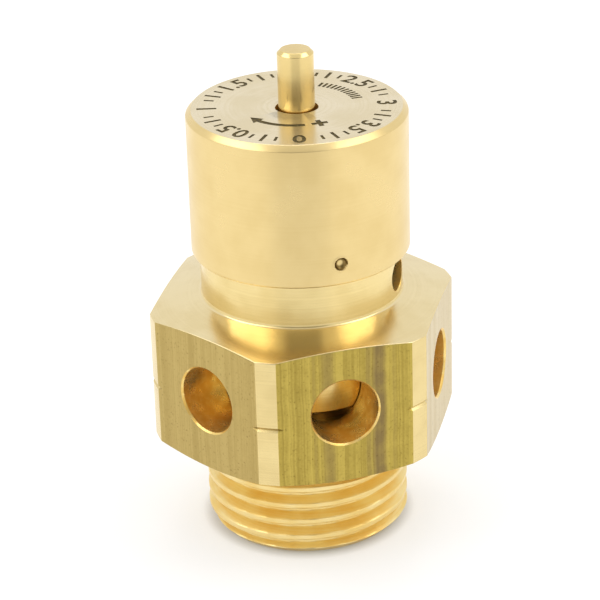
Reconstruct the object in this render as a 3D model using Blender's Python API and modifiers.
"""Boiler safety valve with a G 1/2 male inlet, direct loaded by a spring.

A hexagon brass body holds the inlet bore, a raised seat and six discharge holes, one in each flat.
A piston-like obturator carries a soft disc that a spring presses on the seat. When the boiler's
pressure lifts it, the steam leaves through the six holes and the pin on top of the cap rises.
The cap is screwed over the neck. It bears on the spring through a plate, so how far it is screwed
down sets the pressure, and a punch mark then locks its thin skirt on the neck.

The axis of the valve is Z. Zero is the face of the inlet thread, on which the part stands.
One flat of the hexagon faces -Y. All sizes are in metres.
"""

import math

import bmesh
import bpy

# Body, outside
THREAD_RADIUS = 0.0103          # crests of the G 1/2 thread, within the tolerance of its 20.955 mm
THREAD_END_CHAMFER = 0.0009
SPIGOT_LENGTH = 0.0103          # thread end to the underside of the hexagon
THREAD_RELIEF_DEPTH = 0.0011    # run-out groove between thread and hexagon
THREAD_RELIEF_WIDTH = 0.0020
THREAD_RELIEF_SLOPE = math.radians(20.0)    # of the groove's lower wall, where the thread runs out
THREAD_PITCH = 0.0254 / 14.0    # G 1/2 has 14 threads to the inch
THREAD_GROOVE_DEPTH = 0.00098
THREAD_ROOT_WIDTH = 0.0003
THREAD_FLANK_ANGLE = math.radians(27.5)
THREAD_START_DROP = 0.00191     # middle of the groove below the thread's end, at +X
HEX_ACROSS_FLATS = 0.0280
HEX_CORNER_REACH = 0.0016       # how far the turned corners stand out past the flats
HEX_HEIGHT = 0.0151             # underside of the hexagon to the root of the neck
HEX_TOP_SLOPE = math.radians(12.0)
UNDERSIDE_CHAMFER_WIDTH = 0.0016    # round the flat sealing face, inwards from the corners
UNDERSIDE_CHAMFER_SLOPE = math.radians(20.0)
CORNER_GROOVE_DROP = 0.0008     # witness groove round the corners, below the discharge holes' axis
CORNER_GROOVE_DEPTH = 0.00025
NECK_WALL = 0.0011
NECK_FILLET = 0.0004
NECK_IN_VIEW = 0.00455          # root of the neck to the cap's lower edge
CAP_THREAD_STEP = 0.0002        # from the neck down to the thread under the cap
CAP_THREAD_CHAMFER = 0.0005

# Body, inside
INLET_RADIUS = 0.0050
INLET_CHAMFER = 0.0005
SEAT_LIP_WIDTH = 0.0005
SEAT_LIP_HEIGHT = 0.0008
SEAT_NOZZLE_WALL = 0.0010
SEAT_ABOVE_HOLE_FLOOR = 0.0002  # seat lip above the lowest line of the discharge holes
DRAIN_GROOVE_DEPTH = 0.0015     # ring-shaped floor round the seat nozzle, below the lip
CHAMBER_RADIUS = 0.0090

# Holes through the body's wall
DISCHARGE_HOLES = 6
DISCHARGE_RADIUS = 0.0034
DISCHARGE_RISE = 0.0075         # underside of the hexagon to the holes' axis
DISCHARGE_CHAMFER = 0.00018
VENT_RADIUS = 0.0017
VENT_RISE = 0.00235             # root of the neck to the vent's axis
VENT_ANGLE = math.radians(-35.0)

# Cap
CAP_SKIRT_WALL = 0.0007
CAP_HEIGHT = 0.01465
CAP_TOP_CHAMFER = 0.00055
CAP_RIM_CHAMFER = 0.00015
CAP_TOP_WALL = 0.0026
CAP_UPPER_WALL = 0.0015         # side wall above the thread
CAP_SKIRT_OVERLAP = 0.0032      # how far the thin skirt reaches down over the neck's shoulder
CAP_SKIRT_SPARE = 0.0006        # free height between the neck's shoulder and the cap's thread
CAP_SCREWED_LENGTH = 0.0044
CAP_SETTING_SPARE = 0.0008      # free height between the neck's end and the step above the thread
PIN_HOLE_CLEARANCE = 0.0003

# Obturator, disc, washer and nut
GUIDE_CLEARANCE = 0.0001        # piston in the chamber, on the radius
PISTON_LENGTH = 0.0083
PISTON_RIM_CHAMFER = 0.0003
PISTON_GROOVE_DEPTH = 0.0004
PISTON_GROOVE_WIDTH = 0.0010
PISTON_GROOVE_DROP = 0.0022     # top of the piston to the groove's upper side
PISTON_CUP_DEPTH = 0.0041       # top of the piston to the shoulder that the spring stands on
PISTON_CUP_WALL = 0.0013
BOSS_HEIGHT = 0.0018
BOSS_CHAMFER = 0.0003
DISC_THICKNESS = 0.0022
DISC_PROUD = 0.0005             # how far the disc stands out of the obturator's rim
DISC_POCKET_WALL = 0.0014
WASHER_RADIUS = 0.0035
WASHER_THICKNESS = 0.0005
NUT_ACROSS_FLATS = 0.0055
NUT_HEIGHT = 0.0024
NUT_CHAMFER = 0.0003
NUT_CHAMFER_SLOPE = math.radians(20.0)

# Lifting pin
PIN_RADIUS = 0.0018
PIN_OUTSIDE = 0.00585           # cap top to the pin's end
PIN_END_CHAMFER = 0.00035
PIN_STOP_STEP = 0.0008          # from the pin to its thicker stem, whose shoulder stops the lift
PIN_THREAD_RADIUS = 0.0015
PIN_THREAD_PROUD = 0.0005       # thread end below the nut
LIFT = 0.0025                   # a quarter of the seat's bore

# Spring and its plate
SPRING_WIRE_RADIUS = 0.0007
SPRING_CUP_CLEARANCE = 0.0005   # spring in the piston's cup, on the radius
SPRING_ACTIVE_TURNS = 8
SPRING_CLOSED_TURNS = 1         # at each end
SPRING_END_CUT = 0.00035        # ground off each end coil
SPRING_BORE_CLEARANCE = 0.0003  # boss and spigot in the spring's bore
PLATE_MARGIN = 0.0009           # spring's outside to the plate's rim
PLATE_THICKNESS = 0.0012
PLATE_SPIGOT_HEIGHT = 0.0014

# Fits and fineness
TOUCH_GAP = 0.0001              # between pieces that rest on or screw into each other
CUT_MARGIN = 0.0010             # how far a cutter runs past the material
BODY_STEPS = 60
THREAD_STEPS = 30               # per turn, in line with every second step of the body
SMALL_STEPS = 48
VENT_STEPS = 24
FILLET_POINTS = 4
SPRING_POINTS_PER_TURN = 12
SPRING_WIRE_RESOLUTION = 2
MERGE_DISTANCE = 0.000001
SMOOTH_ANGLE = math.radians(30.0)

# Heights, from the thread's end upwards
HEX_BOTTOM_Z = SPIGOT_LENGTH
HOLES_Z = HEX_BOTTOM_Z + DISCHARGE_RISE
NECK_Z = HEX_BOTTOM_Z + HEX_HEIGHT
VENT_Z = NECK_Z + VENT_RISE
CAP_BOTTOM_Z = NECK_Z + NECK_IN_VIEW
CAP_TOP_Z = CAP_BOTTOM_Z + CAP_HEIGHT
CAP_CEILING_Z = CAP_TOP_Z - CAP_TOP_WALL
SHOULDER_Z = CAP_BOTTOM_Z + CAP_SKIRT_OVERLAP
NECK_END_Z = SHOULDER_Z + CAP_SCREWED_LENGTH
CAP_STEP_Z = NECK_END_Z + CAP_SETTING_SPARE
SEAT_Z = HOLES_Z - DISCHARGE_RADIUS + SEAT_ABOVE_HOLE_FLOOR
DISC_BOTTOM_Z = SEAT_Z + TOUCH_GAP
DISC_TOP_Z = DISC_BOTTOM_Z + DISC_THICKNESS
POCKET_TOP_Z = DISC_TOP_Z + TOUCH_GAP
PISTON_RIM_Z = DISC_BOTTOM_Z + DISC_PROUD
PISTON_TOP_Z = PISTON_RIM_Z + PISTON_LENGTH
SPRING_SEAT_Z = PISTON_TOP_Z - PISTON_CUP_DEPTH
BOSS_TOP_Z = SPRING_SEAT_Z + BOSS_HEIGHT
WASHER_TOP_Z = DISC_BOTTOM_Z - TOUCH_GAP
WASHER_BOTTOM_Z = WASHER_TOP_Z - WASHER_THICKNESS
NUT_TOP_Z = WASHER_BOTTOM_Z - TOUCH_GAP
NUT_BOTTOM_Z = NUT_TOP_Z - NUT_HEIGHT
PLATE_TOP_Z = CAP_CEILING_Z - TOUCH_GAP
PLATE_BOTTOM_Z = PLATE_TOP_Z - PLATE_THICKNESS
SPRING_BOTTOM_Z = SPRING_SEAT_Z + TOUCH_GAP
SPRING_TOP_Z = PLATE_BOTTOM_Z - TOUCH_GAP
PIN_TOP_Z = CAP_TOP_Z + PIN_OUTSIDE
PIN_STOP_Z = PLATE_BOTTOM_Z - PLATE_SPIGOT_HEIGHT - TOUCH_GAP - LIFT
PIN_SHOULDER_Z = BOSS_TOP_Z + TOUCH_GAP
PIN_FOOT_Z = NUT_BOTTOM_Z - PIN_THREAD_PROUD

# Radii that follow from the pieces they fit
FLAT_RADIUS = HEX_ACROSS_FLATS / 2.0
HEX_CORNER_RADIUS = FLAT_RADIUS + HEX_CORNER_REACH
HEX_UNDERSIDE_RADIUS = HEX_CORNER_RADIUS - UNDERSIDE_CHAMFER_WIDTH
THREAD_RELIEF_RADIUS = THREAD_RADIUS - THREAD_RELIEF_DEPTH
NECK_RADIUS = CHAMBER_RADIUS + NECK_WALL
CAP_THREAD_RADIUS = NECK_RADIUS - CAP_THREAD_STEP
CAP_BORE_RADIUS = CAP_THREAD_RADIUS + TOUCH_GAP
SKIRT_RADIUS = NECK_RADIUS + TOUCH_GAP
CAP_RADIUS = SKIRT_RADIUS + CAP_SKIRT_WALL
PISTON_RADIUS = CHAMBER_RADIUS - GUIDE_CLEARANCE
CUP_RADIUS = PISTON_RADIUS - PISTON_CUP_WALL
POCKET_RADIUS = PISTON_RADIUS - DISC_POCKET_WALL
DISC_RADIUS = POCKET_RADIUS - TOUCH_GAP
SPRING_OUTER_RADIUS = CUP_RADIUS - SPRING_CUP_CLEARANCE
SPRING_MEAN_RADIUS = SPRING_OUTER_RADIUS - SPRING_WIRE_RADIUS
SPRING_INNER_RADIUS = SPRING_MEAN_RADIUS - SPRING_WIRE_RADIUS
PLATE_RADIUS = SPRING_OUTER_RADIUS + PLATE_MARGIN
BOSS_RADIUS = SPRING_INNER_RADIUS - SPRING_BORE_CLEARANCE
PIN_HOLE_RADIUS = PIN_RADIUS + PIN_HOLE_CLEARANCE
PIN_STEM_RADIUS = PIN_RADIUS + PIN_STOP_STEP
EYE_RADIUS = PIN_THREAD_RADIUS + TOUCH_GAP

# Colours and roughness
BRASS = (0.72, 0.52, 0.20)
BRASS_ROUGHNESS = 0.28
BRIGHT_BRASS = (0.80, 0.63, 0.30)
BRIGHT_BRASS_ROUGHNESS = 0.18
SPRING_STEEL = (0.55, 0.56, 0.57)
SPRING_STEEL_ROUGHNESS = 0.30
ELASTOMER = (0.03, 0.03, 0.03)
ELASTOMER_ROUGHNESS = 0.60


def clear_scene():
    for obj in list(bpy.data.objects):
        bpy.data.objects.remove(obj, do_unlink=True)


def new_collection(name):
    collection = bpy.data.collections.new(name)
    bpy.context.scene.collection.children.link(collection)
    return collection


def surface(name, colour, roughness, metallic=1.0):
    material = bpy.data.materials.new(name)
    material.use_nodes = True
    shader = material.node_tree.nodes["Principled BSDF"]
    shader.inputs["Base Color"].default_value = (*colour, 1.0)
    shader.inputs["Metallic"].default_value = metallic
    shader.inputs["Roughness"].default_value = roughness
    return material


def arc(centre_r, centre_z, radius, start, end, count):
    """Points (r, z) on an arc, for the fillets of turned profiles."""
    angles = [start + (end - start) * i / (count - 1) for i in range(count)]
    return [(centre_r + radius * math.cos(a), centre_z + radius * math.sin(a)) for a in angles]


def turned(name, profile, steps, collection, closed):
    """A piece turned on the Z axis. Its profile runs down the outside, and a closed one back up the bore."""
    mesh = bpy.data.meshes.new(name)
    edges = [(i, i + 1) for i in range(len(profile) - 1)]
    if closed:
        edges.append((len(profile) - 1, 0))
    mesh.from_pydata([(r, 0.0, z) for r, z in profile], edges, [])
    obj = bpy.data.objects.new(name, mesh)
    collection.objects.link(obj)
    screw = obj.modifiers.new("turn", "SCREW")
    screw.axis = "Z"
    screw.angle = math.tau
    screw.steps = steps
    screw.render_steps = steps
    screw.use_merge_vertices = True
    screw.merge_threshold = MERGE_DISTANCE
    return obj


def make_solid_mesh(obj):
    """Replaces the object's mesh with its evaluated one, welded, and drops the modifiers."""
    graph = bpy.context.evaluated_depsgraph_get()
    mesh = bpy.data.meshes.new_from_object(obj.evaluated_get(graph))
    obj.modifiers.clear()
    obj.data = mesh
    work = bmesh.new()
    work.from_mesh(mesh)
    bmesh.ops.remove_doubles(work, verts=work.verts, dist=MERGE_DISTANCE)
    work.to_mesh(mesh)
    work.free()
    return obj


def finish(obj, material):
    obj.data.materials.clear()
    obj.data.materials.append(material)
    obj.data.shade_smooth()
    obj.data.set_sharp_from_angle(angle=SMOOTH_ANGLE)
    return obj


def as_cutter(obj):
    obj.hide_render = True
    obj.display_type = "WIRE"
    return obj


def cut(obj, cutter, operation="DIFFERENCE"):
    modifier = obj.modifiers.new(cutter.name, "BOOLEAN")
    modifier.operation = operation
    modifier.solver = "EXACT"
    modifier.object = cutter


def hex_top_z(radius):
    """Height of the hexagon's conical top at a radius."""
    return NECK_Z - (radius - NECK_RADIUS) * math.tan(HEX_TOP_SLOPE)


def hexagon_bar(name, flat_radius, bottom_z, top_z, collection):
    """A six-sided bar on the Z axis whose flats the piece keeps. One flat faces -Y."""
    bpy.ops.mesh.primitive_cylinder_add(
        vertices=6,
        radius=flat_radius / math.cos(math.pi / 6.0),
        depth=top_z - bottom_z,
        location=(0.0, 0.0, (bottom_z + top_z) / 2.0),
        rotation=(0.0, 0.0, math.pi / 6.0),
    )
    bar = bpy.context.object
    bar.name = name
    for owner in list(bar.users_collection):
        owner.objects.unlink(bar)
    collection.objects.link(bar)
    return as_cutter(bar)


def close_ends(obj):
    """Fills the open ends of a swept section and turns its faces outwards."""
    work = bmesh.new()
    work.from_mesh(obj.data)
    bmesh.ops.holes_fill(work, edges=[edge for edge in work.edges if edge.is_boundary])
    bmesh.ops.recalc_face_normals(work, faces=work.faces)
    work.to_mesh(obj.data)
    work.free()


def thread_cutter(collection):
    """The groove between two crests of the inlet thread. It winds from below the thread's end into the
    run-out groove, and gets wider outwards until its turns nearly touch."""
    root_radius = THREAD_RADIUS - THREAD_GROOVE_DEPTH
    root_half = THREAD_ROOT_WIDTH / 2.0
    outer_half = THREAD_PITCH / 2.0 - TOUCH_GAP
    outer_radius = root_radius + (outer_half - root_half) / math.tan(THREAD_FLANK_ANGLE)
    relief_z = HEX_BOTTOM_Z - TOUCH_GAP - THREAD_RELIEF_WIDTH / 2.0
    steps = math.floor(THREAD_STEPS * (relief_z + THREAD_START_DROP) / THREAD_PITCH)
    section = [
        (outer_radius, outer_half),
        (outer_radius, -outer_half),
        (root_radius, -root_half),
        (root_radius, root_half),
    ]
    profile = [(r, z - THREAD_START_DROP) for r, z in section]
    groove = turned("thread_groove", profile, steps, collection, closed=True)
    screw = groove.modifiers["turn"]
    screw.angle = math.tau * steps / THREAD_STEPS
    screw.screw_offset = THREAD_PITCH * steps / THREAD_STEPS
    close_ends(make_solid_mesh(groove))
    return as_cutter(groove)


def discharge_cutter(index, collection):
    """A radial drill with the chamfer at the hole's mouth, turned on Z and laid on a flat's normal."""
    outer = HEX_CORNER_RADIUS + CUT_MARGIN
    inner = (INLET_RADIUS + SEAT_NOZZLE_WALL + CHAMBER_RADIUS) / 2.0
    mouth = DISCHARGE_RADIUS + DISCHARGE_CHAMFER
    profile = [
        (0.0, outer),
        (mouth + outer - FLAT_RADIUS, outer),
        (DISCHARGE_RADIUS, FLAT_RADIUS - DISCHARGE_CHAMFER),
        (DISCHARGE_RADIUS, inner),
        (0.0, inner),
    ]
    drill = turned(f"discharge_drill_{index + 1}", profile, SMALL_STEPS, collection, closed=False)
    drill.location = (0.0, 0.0, HOLES_Z)
    drill.rotation_euler = (0.0, math.pi / 2.0, -math.pi / 2.0 + math.tau * index / DISCHARGE_HOLES)
    return as_cutter(drill)


def vent_cutter(collection):
    """A plain radial drill through the neck's wall."""
    inner = CHAMBER_RADIUS - CUT_MARGIN
    outer = NECK_RADIUS + CUT_MARGIN
    profile = [(0.0, outer), (VENT_RADIUS, outer), (VENT_RADIUS, inner), (0.0, inner)]
    drill = turned("vent_drill", profile, VENT_STEPS, collection, closed=False)
    drill.location = (0.0, 0.0, VENT_Z)
    drill.rotation_euler = (0.0, math.pi / 2.0, VENT_ANGLE)
    return as_cutter(drill)


def body_profile():
    """Half section of the body: down the outside from the neck's end, and back up the inside."""
    fillet_centre = NECK_RADIUS + NECK_FILLET
    fillet_z = hex_top_z(fillet_centre) + NECK_FILLET
    groove_z = HOLES_Z - CORNER_GROOVE_DROP
    relief_top = HEX_BOTTOM_Z - TOUCH_GAP
    relief_bottom = relief_top - THREAD_RELIEF_WIDTH
    thread_top = relief_bottom - THREAD_RELIEF_DEPTH * math.tan(THREAD_RELIEF_SLOPE)
    underside_rise = UNDERSIDE_CHAMFER_WIDTH * math.tan(UNDERSIDE_CHAMFER_SLOPE)
    nozzle_radius = INLET_RADIUS + SEAT_NOZZLE_WALL
    outside = [
        (CAP_THREAD_RADIUS - CAP_THREAD_CHAMFER, NECK_END_Z),
        (CAP_THREAD_RADIUS, NECK_END_Z - CAP_THREAD_CHAMFER),
        (CAP_THREAD_RADIUS, SHOULDER_Z),
        (NECK_RADIUS, SHOULDER_Z),
        *arc(fillet_centre, fillet_z, NECK_FILLET, math.pi, 1.5 * math.pi - HEX_TOP_SLOPE, FILLET_POINTS),
        (HEX_CORNER_RADIUS, hex_top_z(HEX_CORNER_RADIUS)),
        (HEX_CORNER_RADIUS, groove_z + CORNER_GROOVE_DEPTH),
        (HEX_CORNER_RADIUS - CORNER_GROOVE_DEPTH, groove_z),
        (HEX_CORNER_RADIUS, groove_z - CORNER_GROOVE_DEPTH),
        (HEX_CORNER_RADIUS, HEX_BOTTOM_Z + underside_rise),
        (HEX_UNDERSIDE_RADIUS, HEX_BOTTOM_Z),
        (THREAD_RELIEF_RADIUS + TOUCH_GAP, HEX_BOTTOM_Z),
        (THREAD_RELIEF_RADIUS, relief_top),
        (THREAD_RELIEF_RADIUS, relief_bottom),
        (THREAD_RADIUS, thread_top),
        (THREAD_RADIUS, THREAD_END_CHAMFER),
        (THREAD_RADIUS - THREAD_END_CHAMFER, 0.0),
    ]
    inside = [
        (INLET_RADIUS + INLET_CHAMFER, 0.0),
        (INLET_RADIUS, INLET_CHAMFER),
        (INLET_RADIUS, SEAT_Z),
        (INLET_RADIUS + SEAT_LIP_WIDTH, SEAT_Z),
        (nozzle_radius, SEAT_Z - SEAT_LIP_HEIGHT),
        (nozzle_radius, SEAT_Z - DRAIN_GROOVE_DEPTH),
        (CHAMBER_RADIUS, SEAT_Z - DRAIN_GROOVE_DEPTH),
        (CHAMBER_RADIUS, NECK_END_Z),
    ]
    return outside + inside


def make_valve_body(parts, cutters, material):
    body = turned("valve_body", body_profile(), BODY_STEPS, parts, closed=True)
    bar = hexagon_bar("body_bar", FLAT_RADIUS, -CUT_MARGIN, NECK_END_Z + CUT_MARGIN, cutters)
    cut(body, bar, "INTERSECT")
    cut(body, thread_cutter(cutters))
    for index in range(DISCHARGE_HOLES):
        cut(body, discharge_cutter(index, cutters))
    cut(body, vent_cutter(cutters))
    return finish(body, material)


def make_cap(parts, material):
    """Bell over the neck: a thin skirt, the screwed part above it, and the pierced top."""
    profile = [
        (PIN_HOLE_RADIUS + CAP_RIM_CHAMFER, CAP_TOP_Z),
        (CAP_RADIUS - CAP_TOP_CHAMFER, CAP_TOP_Z),
        (CAP_RADIUS, CAP_TOP_Z - CAP_TOP_CHAMFER),
        (CAP_RADIUS, CAP_BOTTOM_Z + CAP_RIM_CHAMFER),
        (CAP_RADIUS - CAP_RIM_CHAMFER, CAP_BOTTOM_Z),
        (SKIRT_RADIUS, CAP_BOTTOM_Z),
        (SKIRT_RADIUS, SHOULDER_Z + CAP_SKIRT_SPARE),
        (CAP_BORE_RADIUS, SHOULDER_Z + CAP_SKIRT_SPARE),
        (CAP_BORE_RADIUS, CAP_STEP_Z),
        (CAP_RADIUS - CAP_UPPER_WALL, CAP_STEP_Z),
        (CAP_RADIUS - CAP_UPPER_WALL, CAP_CEILING_Z),
        (PIN_HOLE_RADIUS, CAP_CEILING_Z),
        (PIN_HOLE_RADIUS, CAP_TOP_Z - CAP_RIM_CHAMFER),
    ]
    return finish(turned("cap", profile, BODY_STEPS, parts, closed=True), material)


def make_spring_plate(parts, material):
    """Top-hat washer between spring and cap. Its spigot centres the spring and stops the pin's shoulder."""
    profile = [
        (PIN_HOLE_RADIUS, PLATE_TOP_Z),
        (PLATE_RADIUS, PLATE_TOP_Z),
        (PLATE_RADIUS, PLATE_BOTTOM_Z),
        (BOSS_RADIUS, PLATE_BOTTOM_Z),
        (BOSS_RADIUS, PLATE_BOTTOM_Z - PLATE_SPIGOT_HEIGHT + BOSS_CHAMFER),
        (BOSS_RADIUS - BOSS_CHAMFER, PLATE_BOTTOM_Z - PLATE_SPIGOT_HEIGHT),
        (PIN_HOLE_RADIUS, PLATE_BOTTOM_Z - PLATE_SPIGOT_HEIGHT),
    ]
    return finish(turned("spring_plate", profile, SMALL_STEPS, parts, closed=True), material)


def spring_points():
    """The wire's centre line: a closed coil at each end and an even pitch between them."""
    first_z = SPRING_BOTTOM_Z + SPRING_WIRE_RADIUS - SPRING_END_CUT
    last_z = SPRING_TOP_Z - SPRING_WIRE_RADIUS + SPRING_END_CUT
    closed_rise = 2.0 * SPRING_WIRE_RADIUS * SPRING_CLOSED_TURNS + TOUCH_GAP
    active_rise = last_z - first_z - 2.0 * closed_rise
    turns = SPRING_ACTIVE_TURNS + 2 * SPRING_CLOSED_TURNS
    points = []
    for i in range(turns * SPRING_POINTS_PER_TURN + 1):
        turn = i / SPRING_POINTS_PER_TURN
        lower = min(turn, SPRING_CLOSED_TURNS) / SPRING_CLOSED_TURNS
        upper = max(turn - SPRING_CLOSED_TURNS - SPRING_ACTIVE_TURNS, 0.0) / SPRING_CLOSED_TURNS
        middle = min(max(turn - SPRING_CLOSED_TURNS, 0.0), SPRING_ACTIVE_TURNS) / SPRING_ACTIVE_TURNS
        z = first_z + closed_rise * (lower + upper) + active_rise * middle
        angle = math.tau * turn
        points.append((SPRING_MEAN_RADIUS * math.cos(angle), SPRING_MEAN_RADIUS * math.sin(angle), z))
    return points


def make_spring(parts, cutters, material):
    """Compression spring with closed ends, ground flat by the bar that it is intersected with."""
    curve = bpy.data.curves.new("spring_wire", "CURVE")
    curve.dimensions = "3D"
    curve.bevel_depth = SPRING_WIRE_RADIUS
    curve.bevel_resolution = SPRING_WIRE_RESOLUTION
    curve.use_fill_caps = True
    points = spring_points()
    line = curve.splines.new("POLY")
    line.points.add(len(points) - 1)
    for point, place in zip(line.points, points):
        point.co = (*place, 1.0)
    wire = bpy.data.objects.new("spring_wire", curve)
    parts.objects.link(wire)
    spring = bpy.data.objects.new("spring", bpy.data.meshes.new("spring"))
    spring.data = bpy.data.meshes.new_from_object(wire.evaluated_get(bpy.context.evaluated_depsgraph_get()))
    spring.matrix_world = wire.matrix_world
    bpy.data.objects.remove(wire, do_unlink=True)
    parts.objects.link(spring)
    make_solid_mesh(spring)
    reach = SPRING_OUTER_RADIUS + CUT_MARGIN
    faces = [(0.0, SPRING_TOP_Z), (reach, SPRING_TOP_Z), (reach, SPRING_BOTTOM_Z), (0.0, SPRING_BOTTOM_Z)]
    cut(spring, as_cutter(turned("spring_ends", faces, SMALL_STEPS, cutters, closed=False)), "INTERSECT")
    return finish(spring, material)


def make_obturator(parts, material):
    """Piston with the disc's pocket below, a relief groove round it, and a cup and boss for the spring."""
    groove_top = PISTON_TOP_Z - PISTON_GROOVE_DROP
    groove_bottom = groove_top - PISTON_GROOVE_WIDTH
    groove_radius = PISTON_RADIUS - PISTON_GROOVE_DEPTH
    profile = [
        (EYE_RADIUS, BOSS_TOP_Z),
        (BOSS_RADIUS - BOSS_CHAMFER, BOSS_TOP_Z),
        (BOSS_RADIUS, BOSS_TOP_Z - BOSS_CHAMFER),
        (BOSS_RADIUS, SPRING_SEAT_Z),
        (CUP_RADIUS, SPRING_SEAT_Z),
        (CUP_RADIUS, PISTON_TOP_Z),
        (PISTON_RADIUS - PISTON_RIM_CHAMFER, PISTON_TOP_Z),
        (PISTON_RADIUS, PISTON_TOP_Z - PISTON_RIM_CHAMFER),
        (PISTON_RADIUS, groove_top),
        (groove_radius, groove_top),
        (groove_radius, groove_bottom),
        (PISTON_RADIUS, groove_bottom),
        (PISTON_RADIUS, PISTON_RIM_Z + PISTON_RIM_CHAMFER),
        (PISTON_RADIUS - PISTON_RIM_CHAMFER, PISTON_RIM_Z),
        (POCKET_RADIUS, PISTON_RIM_Z),
        (POCKET_RADIUS, POCKET_TOP_Z),
        (EYE_RADIUS, POCKET_TOP_Z),
    ]
    return finish(turned("obturator", profile, SMALL_STEPS, parts, closed=True), material)


def make_flat_ring(name, radius, bottom_z, top_z, parts, material):
    """A plain ring on the pin's thread, such as the seat disc and the washer that clamps it."""
    profile = [(EYE_RADIUS, top_z), (radius, top_z), (radius, bottom_z), (EYE_RADIUS, bottom_z)]
    return finish(turned(name, profile, SMALL_STEPS, parts, closed=True), material)


def make_disc_nut(parts, cutters, material):
    """Hexagon nut, chamfered at both ends, as a turned blank that a small hexagon bar is intersected with."""
    flat = NUT_ACROSS_FLATS / 2.0
    corner = flat / math.cos(math.pi / 6.0)
    rise = (corner - flat) * math.tan(NUT_CHAMFER_SLOPE) + NUT_CHAMFER
    profile = [
        (EYE_RADIUS, NUT_TOP_Z),
        (flat, NUT_TOP_Z),
        (corner + NUT_CHAMFER, NUT_TOP_Z - rise),
        (corner + NUT_CHAMFER, NUT_BOTTOM_Z + rise),
        (flat, NUT_BOTTOM_Z),
        (EYE_RADIUS, NUT_BOTTOM_Z),
    ]
    nut = turned("disc_nut", profile, SMALL_STEPS, parts, closed=True)
    bar = hexagon_bar("nut_bar", flat, NUT_BOTTOM_Z - CUT_MARGIN, NUT_TOP_Z + CUT_MARGIN, cutters)
    cut(nut, bar, "INTERSECT")
    return finish(nut, material)


def make_lift_pin(parts, material):
    """Stepped pin. Its threaded foot clamps obturator, disc and washer, and its shoulder stops the lift."""
    profile = [
        (0.0, PIN_TOP_Z),
        (PIN_RADIUS - PIN_END_CHAMFER, PIN_TOP_Z),
        (PIN_RADIUS, PIN_TOP_Z - PIN_END_CHAMFER),
        (PIN_RADIUS, PIN_STOP_Z),
        (PIN_STEM_RADIUS, PIN_STOP_Z),
        (PIN_STEM_RADIUS, PIN_SHOULDER_Z),
        (PIN_THREAD_RADIUS, PIN_SHOULDER_Z),
        (PIN_THREAD_RADIUS, PIN_FOOT_Z),
        (0.0, PIN_FOOT_Z),
    ]
    return finish(turned("lift_pin", profile, SMALL_STEPS, parts, closed=False), material)


def carry(pieces):
    """Hangs the pieces that lift together on an empty that stands on the slide's axis."""
    lift = bpy.data.objects.new("lift_axis", None)
    bpy.context.scene.collection.objects.link(lift)
    lift.location = (0.0, 0.0, SEAT_Z)
    bpy.context.view_layer.update()
    for piece in pieces:
        piece.parent = lift
        piece.matrix_parent_inverse = lift.matrix_world.inverted()


def main():
    clear_scene()
    parts = new_collection("boiler_safety_valve")
    cutters = new_collection("cutters")
    turned_brass = surface("turned_brass", BRASS, BRASS_ROUGHNESS)
    bright_brass = surface("bright_brass", BRIGHT_BRASS, BRIGHT_BRASS_ROUGHNESS)
    steel = surface("spring_steel", SPRING_STEEL, SPRING_STEEL_ROUGHNESS)
    elastomer = surface("elastomer", ELASTOMER, ELASTOMER_ROUGHNESS, metallic=0.0)
    make_valve_body(parts, cutters, turned_brass)
    make_cap(parts, bright_brass)
    make_spring_plate(parts, turned_brass)
    make_spring(parts, cutters, steel)
    carry([
        make_obturator(parts, turned_brass),
        make_flat_ring("seat_disc", DISC_RADIUS, DISC_BOTTOM_Z, DISC_TOP_Z, parts, elastomer),
        make_flat_ring("disc_washer", WASHER_RADIUS, WASHER_BOTTOM_Z, WASHER_TOP_Z, parts, steel),
        make_disc_nut(parts, cutters, turned_brass),
        make_lift_pin(parts, bright_brass),
    ])


main()
